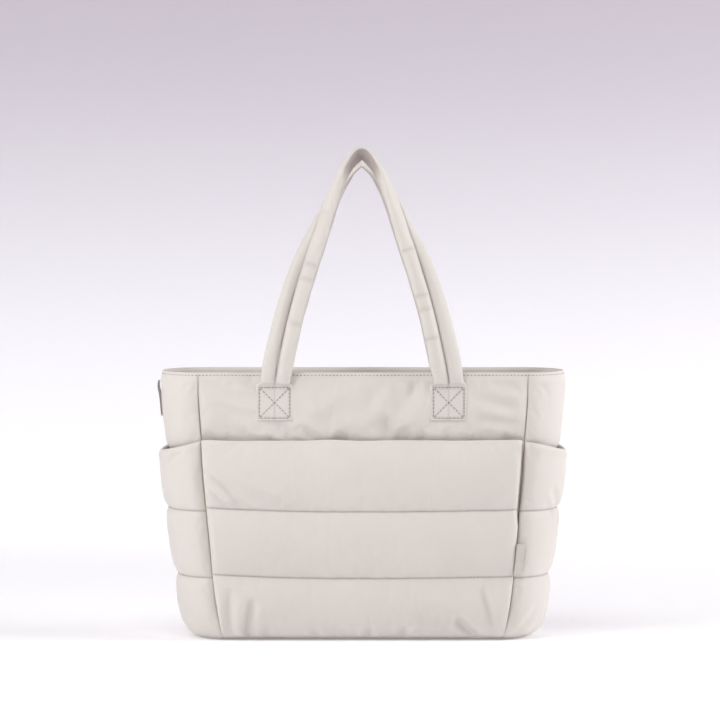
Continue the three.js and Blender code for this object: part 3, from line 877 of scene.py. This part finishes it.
def mouthFacing():
    top = bag["height"] - facing["below"]
    z = spread(bag["height"] - facing["drop"], top, 0.003)[:, None]
    flat = np.linspace(-1, 1, 90)[1:-1]
    ends = placesAcross(halfEnd, 0.004)
    fuller = (bag["wall"] - walls["rimThickness"]) * ease(0, 0.012, bag["height"] - z)
    lean = -(walls["rimThickness"] + 0.0010 + fuller)
    ripple = 0.0005 * noiseAt(flat[None] * 9, z / 0.03, 7)
    front = facePoint(z, flat[None], lean - np.abs(ripple))
    right = endPoint(z, ends[None], lean)
    ring = np.concatenate([front, right, turned(front), turned(right)], axis=1)
    ring = np.concatenate([ring, ring[:, :1]], axis=1)
    # painted shade just under the facing's top edge
    piece = paintedGrid("mouthFacing", ring, 0.1 * bell(top - z, 0.0012))
    pick(piece)
    bpy.ops.object.mode_set(mode="EDIT")
    bpy.ops.mesh.select_all(action="SELECT")
    bpy.ops.mesh.remove_doubles(threshold=0.00002)
    bpy.ops.object.mode_set(mode="OBJECT")
    thicken(piece, facing["thick"])
    length = float(np.linalg.norm(np.diff(ring[0], axis=0), axis=1).sum())
    return finish(piece, 0), length


facingPiece, facingLength = mouthFacing()
dress(facingPiece, facingNylonPaintedLight, "facing", "mouth_facing")
print("facing made, flat length", round(facingLength, 3))

handle = {
    "top": 0.5265,
    "spread": 0.094,
    "lean": 0.020,
    "dropBack": 0.0088,
    "width": 0.034,
    "thick": 0.015,
    "endWidth": 0.040,
    "endHeight": 0.0385,
    "endThick": 0.003,
    "belowRim": 0.0133,
    "around": 72,
    "boxHalf": 0.0165,  # half the width of the sewn box
    "shiftLeft": 0.0008,
    "shiftRight": -0.0004,
    "aside": -0.0015,  # the front handle stands a little to the left
}
handleRows = [  # up, out, lean, width, thick, flat, turn
    (0, 1.0, 0, 1, 1, 1, 0),
    (0.06, 1.0, 0, 1, 1, 1, 0),
    (0.12, 1, 0, 1, 1, 1, 0),
    (0.145, 0.998, 0, 1, 0.55, 0, 2),
    (0.2, 0.972, 0, 1, 0.8, 0, 6),
    (0.382, 0.846, 0.1, 0.98, 0.93, 0, 20),
    (0.562, 0.678, 0.34, 0.97, 1, 0, 36),
    (0.743, 0.455, 0.66, 0.97, 1, 0, 66),
    (0.89, 0.262, 0.9, 0.97, 0.9, 0, 94),
    (0.965, 0.13, 0.98, 1, 0.68, 0, 106),
    (1, 0, 1, 1, 0.5, 0, 112),
]
strapSection = [
    (0, 0.55), (0.42, 1), (0.84, 0.72), (1, 0), (0.84, -0.75), (0.42, -1),
    (0, -0.85), (-0.42, -1), (-0.84, -0.75), (-1, 0), (-0.84, 0.72), (-0.42, 1),
]

# small creases across the inner roll: which leg, and how high
strapTicks = [(-1, 0.4066), (-1, 0.3913), (-1, 0.3444), (1, 0.4218), (1, 0.3739), (1, 0.3597), (1, 0.3292)]


def smoothPath(points, counts):
    # centripetal Catmull-Rom through the points, with a number of steps for each stretch
    ends = [points[0] * 2 - points[1]] + points + [points[-1] * 2 - points[-2]]
    result = []
    for i, count in enumerate(counts):
        p0, p1, p2, p3 = ends[i : i + 4]
        t0, t1, t2 = ((b - a).length ** 0.5 for a, b in ((p0, p1), (p1, p2), (p2, p3)))
        m1 = ((p1 - p0) / t0 - (p2 - p0) / (t0 + t1) + (p2 - p1) / t1) * t1
        m2 = ((p2 - p1) / t1 - (p3 - p1) / (t1 + t2) + (p3 - p2) / t2) * t1
        for k in range(count):
            t = k / count
            result.append((i + t, p1 + m1 * t + (p1 * -3 + p2 * 3 - m1 * 2 - m2) * t**2
                + (p1 * 2 - p2 * 2 + m1 + m2) * t**3))
    result.append((len(counts), points[-1]))
    return result


def makeHandle(name, peak, turnRound, seed):
    foot = bag["height"] - handle["belowRim"] - handle["endHeight"]
    half = []
    for up, out, lean, width, thick, flat, turn in handleRows:
        z = foot + (peak - foot) * up
        wide = handle["width"] * width * (1 - flat) + handle["endWidth"] * flat
        deep = handle["thick"] * thick * (1 - flat) + handle["endThick"] * flat
        seat = float(outlineAt(min(z, bag["height"]))[2]) + bag["gap"] + deep / 2
        y = -(seat + (handle["lean"] - seat) * lean)
        half.append((Vector((out * handle["spread"], y, z)), wide, deep, turn, flat))
    other = [(Vector((-p.x, p.y, p.z)), *rest) for p, *rest in half[:-1]][::-1]
    rows = half + other
    counts = [14, 12, 7, 12, 20, 20, 22, 18, 12, 10]
    path = smoothPath([row[0] for row in rows], counts + counts[::-1])
    at = np.array([place for place, point in path])
    middle = np.array([point[:] for place, point in path])
    stations = [(i, *row[1:]) for i, row in enumerate(rows)]
    wide, deep, turn = (readTable(stations, column)(at) for column in (1, 2, 3))
    edgeTop = foot + handle["endHeight"]
    flat = 1 - ease(edgeTop - 0.0002, edgeTop + 0.0028, middle[:, 2])
    flat = np.where(np.abs(middle[:, 0]) < 0.05, 0, flat)
    above = np.clip(middle[:, 2] - edgeTop, 0, 1)
    rolled = np.interp(above, [0, 0.003, 0.012, 0.03], [0.0085, 0.0095, 0.0115, 0.0125])
    deep = np.where(flat > 0, handle["endThick"] * flat + rolled * (1 - flat),
        np.where(above < 0.03, rolled, deep))
    wide = np.where(above < 0.02, handle["endWidth"] * flat
        + (1 - flat) * np.interp(above, [0, 0.02], [0.0315, 0.0335]), wide)
    tangent = np.gradient(middle, axis=0)
    upright = np.array([[0.0, 0.0, 1.0]]) * np.sign(tangent[:, 2:3])
    tangent = unit(unit(tangent) * (1 - flat[:, None]) + upright * flat[:, None])
    forward = unit(np.array([0.0, -1.0, 0.0])[None] - tangent * -tangent[:, 1:2])
    outward = np.cross(tangent, forward)
    angle = np.radians(turn)[:, None]
    face = forward * np.cos(angle) + outward * np.sin(angle)
    sideways = np.cross(tangent, face)
    shift = np.where(middle[:, 0] < 0, handle["shiftLeft"], -handle["shiftRight"])
    shift = shift * (1 - flat) * np.exp(-above / 0.05)
    middle = middle + np.array([1.0, 0, 0])[None] * shift[:, None]
    length = running(np.linalg.norm(np.diff(middle, axis=0), axis=1))
    count = handle["around"]
    section = [(k / 12, *strapSection[k % 12]) for k in range(-2, 15)]
    u = np.arange(count + 1) / count
    rollX, rollY = readTable(section, 1)(u), readTable(section, 2)(u)
    seamFront = bell(rollX, 0.07) * (rollY > 0)
    seamBack = bell(rollX, 0.07) * (rollY < 0)
    v = (u * 4) % 4
    across = np.select([v <= 1, v <= 3, v <= 4], [v, 2 - v, v - 4])
    flatX = np.sign(across) * np.abs(across) ** 0.92
    flatY = np.where((v < 1) | (v > 3), 1, -1) * (1 - np.abs(across) ** 14) ** (1 / 3)
    along = length[:, None]
    crimp = 0.00035 * noiseAt(along / 0.009, np.sign(rollX)[None] * 3 + 0.5, seed)
    crimp = crimp * np.exp(-np.abs(rollX)[None] / 0.3)
    soft = 0.0006 * noiseAt(along / 0.045, u[None] * 5, seed + 2)
    soft = soft + 0.0003 * noiseAt(along / 0.016, u[None] * 9, seed + 3)
    bend = np.interp(middle[:, 2], [0.46, 0.5, peak], [0, 0.4, 1])[:, None]
    folds = 0.0011 * bend * noiseAt(along / 0.0085, u[None] * 4, seed + 5) * ease(0.2, -0.6, rollY)[None]
    crossing = (middle[:, 2] - 0.461 - 0.12 * (middle[:, 0] + 0.045)) / 0.0022
    kink = 0.0016 * np.exp(-(crossing**2)) * (middle[:, 0] < 0)
    swell = (crimp + soft - folds) * (1 - flat[:, None]) - kink[:, None] * ease(-0.4, 0.6, rollY)[None]
    fade = np.interp(middle[:, 2], [0.40, 0.47], [0, 1])[:, None]
    rounder = np.sign(rollY) * np.sqrt(np.clip(1 - rollX**2, 0, 1)) * 0.96
    rolledY = (rollY - seamFront * 0.3 + seamBack * 0.2)[None] * (1 - fade)
    rolledY = rolledY + (rounder - seamFront * 0.12)[None] * fade
    halfWide, halfDeep = wide[:, None] / 2, deep[:, None] / 2
    f = flat[:, None]
    x = (rollX[None] * (halfWide + swell)) * (1 - f) + flatX[None] * halfWide * f
    y = (rolledY * (halfDeep + swell)) * (1 - f) + flatY[None] * halfDeep * f
    # the box and cross of stitches press the sewn end in
    centre = foot + handle["endHeight"] / 2
    lx, lz = np.abs(x), np.abs(middle[:, 2:3] - centre)
    box = np.abs(np.maximum(lx, lz) - handle["boxHalf"])
    cross = np.where(np.maximum(lx, lz) < handle["boxHalf"], np.abs(lx - lz), 1)
    press = 0.0007 * bell(box, 0.0011) + 0.0006 * bell(cross, 0.0011)
    press = press + 0.0005 * bell(lx, 0.0008)
    y = y - press * f * (flatY[None] > 0)
    dent = 0
    for leg, height in strapTicks:
        near = bell(middle[:, 2] - height, 0.0019) * (middle[:, 0] * leg > 0)
        dent = dent + near[:, None] * (ease(0.1, 0.35, -rollX) * (rollY > 0))[None]
    y = y - 0.0013 * dent
    points = middle[:, None] + sideways[:, None] * x[..., None] + face[:, None] * y[..., None]
    points[..., 0] += -handle["aside"] if turnRound else handle["aside"]
    if turnRound:
        points = turned(points)
    # painted shade along the strap's seams, in the pressed box and cross of stitches, and in the small
    # creases
    shade = (seamFront + seamBack)[None] * (1 - f) * (0.6 - 0.3 * fade)
    shade = shade + f * (flatY[None] > 0) * press / 0.0022
    # painted shade on the underside of the loop's top, where the fabric is folded on itself
    under = ease(peak - 0.034, peak - 0.014, middle[:, 2])[:, None] * ease(0.2, 0.7, -rollY)[None]
    shade = np.maximum(np.maximum(shade, 0.3 * dent), 0.7 * under)
    # closed ends
    first = points[:1].mean(axis=1, keepdims=True) + 0 * points[:1]
    last = points[-1:].mean(axis=1, keepdims=True) + 0 * points[-1:]
    points = np.concatenate([first, points, last])
    shade = np.concatenate([shade[:1] * 0, shade, shade[:1] * 0])
    return finish(paintedGrid(name, points, shade), 0)


for piece, node in [
    (makeHandle("frontHandle", handle["top"], False, 101), "front_handle"),
    (makeHandle("backHandle", handle["top"] - handle["dropBack"], True, 121), "back_handle"),
]:
    dress(piece, strapNylon, "strap", node)
print("handles made")

tabs = {
    "labelWidth": 0.0078,
    "labelShare": 0.84,  # the part of its width that shows
    "labelHeight": 0.034,
    "labelLift": 0.0022,
    "layer": 0.0005,
    "webWidth": 0.020,
    "webHeight": 0.038,
    "webBelow": 0.012,
    "webBulge": 0.0013,
}


def labelTab():
    # a tape folded in half, its fold free and its two ends sewn in beside the pocket
    topZ = lineHeights[1] + tabs["labelHeight"] + 0.003
    z = spread(topZ - tabs["labelHeight"], topZ, 0.002)[:, None]
    fold = np.linspace(0, np.pi, 7)
    width = tabs["labelWidth"] * tabs["labelShare"]
    out = np.concatenate([np.linspace(0, width, 8)[:-1], width + 0.0006 * np.sin(fold),
        np.linspace(width, 0, 8)[1:]])
    lift = np.concatenate([np.full(7, 0.0), 0.0006 * (1 - np.cos(fold)), np.full(7, 0.0012)])
    turn = -1 + (0.0006 + out) / halfEnd
    level = z + 0 * turn
    distance = (1 - np.abs(turn)) * halfEnd
    edge = roll(distance, bag["edgeRoll"])
    fill = channelFill(level)
    room = bag["gap"] - tuckAt(level) + (side["slot"] * sideSlotShare(level / pocketTop)
        + side["bow"] * side["puff"] * fill) * edge
    stand = room + side["thick"] + (side["puff"] * 0.6 * fill + 0.0014) * edge
    stand = stand + tabs["labelLift"] + lift[None]
    stand = stand + 0.0008 * (distance / width) * ease(0, 1, (level - z[0]) / 0.034)
    return paintedGrid("labelTab", endPoint(level, turn[None], stand))


def sideTab():
    # a loop of webbing on the left end, bulging at its top
    top = bag["height"] - tabs["webBelow"]
    share = np.concatenate([np.linspace(0, 1, 16), np.linspace(1, 0, 16)])[:, None]
    curve = readTable([(0, 0), (0.6, 0.12), (0.88, 1), (1, 0.2)], 1)(share) * tabs["webBulge"]
    layer = np.concatenate([np.zeros(16), np.full(16, 0.0009)])[:, None]
    turn = np.linspace(-0.5, 0.5, 12)[None] * tabs["webWidth"] / halfEnd
    z = top - tabs["webHeight"] * (1 - share)
    stand = bag["gap"] + walls["bandPuff"] + 0.0006 + curve + layer
    return paintedGrid("sideTab", turned(endPoint(z, turn, stand)))


for piece, node, flat, under in [
    (labelTab(), "label_tab", (2 * tabs["labelWidth"] + 0.002, tabs["labelHeight"]), "right_side_pocket"),
    (sideTab(), "side_tab", (tabs["webWidth"], 2 * tabs["webHeight"] + 0.004), "left_gusset"),
]:
    thicken(piece, tabs["layer"])
    finish(piece, 0)
    dress(piece, tabTape, "tab", node)
print("tabs made")

stitching = {
    "pitch": 0.0039,
    "length": 0.0023,
    "radius": 0.00042,
    "lift": 0.00018,
}


def sewAlong(name, runs):
    # each run is a line of points with the outward directions at its start and end; one stitch is copied
    deselect()
    bpy.ops.mesh.primitive_uv_sphere_add(segments=6, ring_count=5, radius=1)
    model = bpy.context.object
    shape = np.array([v.co[:] for v in model.data.vertices])
    faces = [list(p.vertices) for p in model.data.polygons]
    bpy.data.objects.remove(model)
    places, polygons = [], []
    for line, outward in runs:
        line, outward = np.asarray(line), np.asarray(outward)
        along = running(np.linalg.norm(np.diff(line, axis=0), axis=1))
        count = int(along[-1] / stitching["pitch"])
        for i in range(count):
            centre = (i + 0.5) * along[-1] / count
            a, b = centre - stitching["length"] / 2, centre + stitching["length"] / 2
            start, end = readLine(a, along, line), readLine(b, along, line)
            up = readLine(centre, along, outward)
            run = end - start
            run /= np.linalg.norm(run)
            up = up - run * (up @ run)
            up /= np.linalg.norm(up)
            across = np.cross(run, up)
            polygons += [[v + len(places) * len(shape) for v in face] for face in faces]
            places.append((start + end) / 2 + up * stitching["lift"]
                + shape[:, 2:3] * run * stitching["length"] / 2
                + shape[:, 0:1] * across * stitching["radius"]
                + shape[:, 1:2] * up * stitching["radius"])
    mesh = bpy.data.meshes.new(name)
    mesh.from_pydata(np.concatenate(places).tolist(), [], polygons)
    piece = addObject(name, mesh)
    pick(piece)
    bpy.ops.object.shade_smooth()
    return dress(piece, thread, "thread")


def outwardFrom(line):
    # away from the bag's middle line, level
    outward = line.copy()
    outward[:, 2] = 0
    outward[:, 0] *= 0.3
    return unit(outward)


def rimRun(height, stand):
    # one line of stitches all round the rim
    flat = np.linspace(-1, 1, 160)
    ends = np.linspace(-1, 1, 80)
    front = facePoint(height, flat, stand)
    right = endPoint(height, ends, stand)
    return np.concatenate([front, right, turned(front), turned(right)])


stitchHeight = bag["height"] - walls["stitchDrop"]
outside = rimRun(stitchHeight, -0.0007)
inside = rimRun(stitchHeight - 0.0004, -walls["rimThickness"] - 0.0019)
sewAlong("rimStitches", [(outside, outwardFrom(outside)), (inside, -outwardFrom(inside))])
sewAlong("pocketStitches", [(line[8:-8], outwardFrom(line[8:-8]))
    for line in frontLines + rightLines + leftLines])


def boxAndCross(turnRound):
    runs = []
    aside = -handle["aside"] if turnRound else handle["aside"]
    foot = bag["height"] - handle["belowRim"] - handle["endHeight"]
    for sideways in (-1, 1):
        centre = np.array([sideways * handle["spread"] + aside, 0, foot + handle["endHeight"] / 2])
        shapes = [[(-1, -1), (1, -1), (1, 1), (-1, 1), (-1, -1)], [(-1, -1), (1, 1)], [(-1, 1), (1, -1)]]
        for shape in shapes:
            for (x0, z0), (x1, z1) in zip(shape[:-1], shape[1:]):
                t = np.linspace(0.02, 0.98, 12)
                x = centre[0] + handle["boxHalf"] * (x0 + (x1 - x0) * t)
                z = centre[2] + handle["boxHalf"] * (z0 + (z1 - z0) * t)
                y = -(outlineAt(z)[2] + bag["gap"] + handle["endThick"] - 0.0006)
                line = np.stack([x, y, z], axis=1)
                runs.append((turned(line) if turnRound else line,
                    np.tile([0, 1.0 if turnRound else -1.0, 0], (12, 1))))
    return runs


sewAlong("frontEndStitches", boxAndCross(False))
sewAlong("backEndStitches", boxAndCross(True))
print("stitches made")

studio = {
    "floor": "#f1f0f2",
    "wallTop": "#b7b0ba",
    "wallLow": "#eeedf1",
    "wallBehind": 1.15,
    "aim": (-0.0033, 0, 0.3005),
    "distance": 5.5,
    "elevation": 3.0,
    "lens": 252,
    "strength": 1.08,
}


def stagePlane(name, corners, material):
    mesh = bpy.data.meshes.new(name)
    mesh.from_pydata(corners, [], [(0, 1, 2, 3)])
    piece = addObject(name, mesh)
    mesh.materials.append(material)
    return piece


def plainPaint(name, lowColour, highColour, low, high, glow):
    # matt painted board, with a soft change of tone up its height
    material, shader = newMaterial(name)
    place = addNode(material, "ShaderNodeTexCoord")
    parts = addNode(material, "ShaderNodeSeparateXYZ", {}, {"Vector": place.outputs["Object"]})
    ramp = addNode(material, "ShaderNodeMapRange", {"interpolation_type": "SMOOTHSTEP"}, {
        "Value": parts.outputs["Z"], "From Min": low, "From Max": high})
    tone = addNode(material, "ShaderNodeMix", {"data_type": "RGBA"}, {
        "Factor": ramp.outputs["Result"], "A": linear(lowColour), "B": linear(highColour)})
    material.node_tree.links.new(tone.outputs["Result"], shader.inputs["Base Color"])
    material.node_tree.links.new(tone.outputs["Result"], shader.inputs["Emission Color"])
    shader.inputs["Emission Strength"].default_value = glow
    shader.inputs["Roughness"].default_value = 0.9
    shader.inputs["Specular IOR Level"].default_value = 0.1
    # the board has one side only, so that the bag is seen from behind it too
    side = addNode(material, "ShaderNodeNewGeometry")
    clear = addNode(material, "ShaderNodeBsdfTransparent")
    both = addNode(material, "ShaderNodeMixShader", {}, {"Fac": side.outputs["Backfacing"]})
    material.node_tree.links.new(shader.outputs["BSDF"], both.inputs[1])
    material.node_tree.links.new(clear.outputs["BSDF"], both.inputs[2])
    output = material.node_tree.nodes["Material Output"]
    material.node_tree.links.new(both.outputs["Shader"], output.inputs["Surface"])
    return material


behind = studio["wallBehind"]
stagePlane("floor", [(-4, -4, 0), (4, -4, 0), (4, behind, 0), (-4, behind, 0)],
    plainPaint("floor_paint", studio["floor"], studio["floor"], 0, 1, 0.2))
stagePlane("backdrop", [(-4, behind, 0), (4, behind, 0), (4, behind, 4), (-4, behind, 4)],
    plainPaint("wall_paint", studio["wallLow"], studio["wallTop"], 0.05, 0.8, 0.17))

for name, place, size, power, colour in [
    ("leftSoftbox", (-2.6, -0.7, 1.5), 1.9, 24, (1.0, 0.995, 0.985)),
    ("rightSoftbox", (2.6, -0.35, 1.4), 1.9, 50, (1.0, 0.995, 0.99)),
    ("topSoftbox", (-0.35, -1.3, 2.5), 1.5, 16, (1.0, 0.995, 0.99)),
    ("keyLight", (-0.95, -1.15, 1.0), 0.5, 6.5, (1.0, 0.99, 0.98)),
]:
    lamp = bpy.data.lights.new(name, "AREA")
    lamp.shape = "DISK"
    lamp.size = size
    lamp.energy = power * studio["strength"]
    lamp.color = colour
    holder = addObject(name, lamp)
    holder.location = place
    holder.rotation_euler = (Vector((0, 0, 0.2)) - Vector(place)).to_track_quat("-Z", "Y").to_euler()

world = bpy.data.worlds.new("studio_air")
world.use_nodes = True
world.node_tree.nodes["Background"].inputs["Color"].default_value = (0.96, 0.955, 0.97, 1)
world.node_tree.nodes["Background"].inputs["Strength"].default_value = 0.2
scene.world = world
scene.view_settings.view_transform = "Standard"

camera = bpy.data.cameras.new("photoCamera")
camera.lens = studio["lens"]
camera.sensor_width = 36
camera.clip_end = 50
holder = addObject("photoCamera", camera)
angle = math.radians(studio["elevation"])
aim = Vector(studio["aim"])
holder.location = aim + Vector((0, -math.cos(angle), math.sin(angle))) * studio["distance"]
holder.rotation_euler = (aim - holder.location).to_track_quat("-Z", "Y").to_euler()
scene.camera = holder
print("studio made")
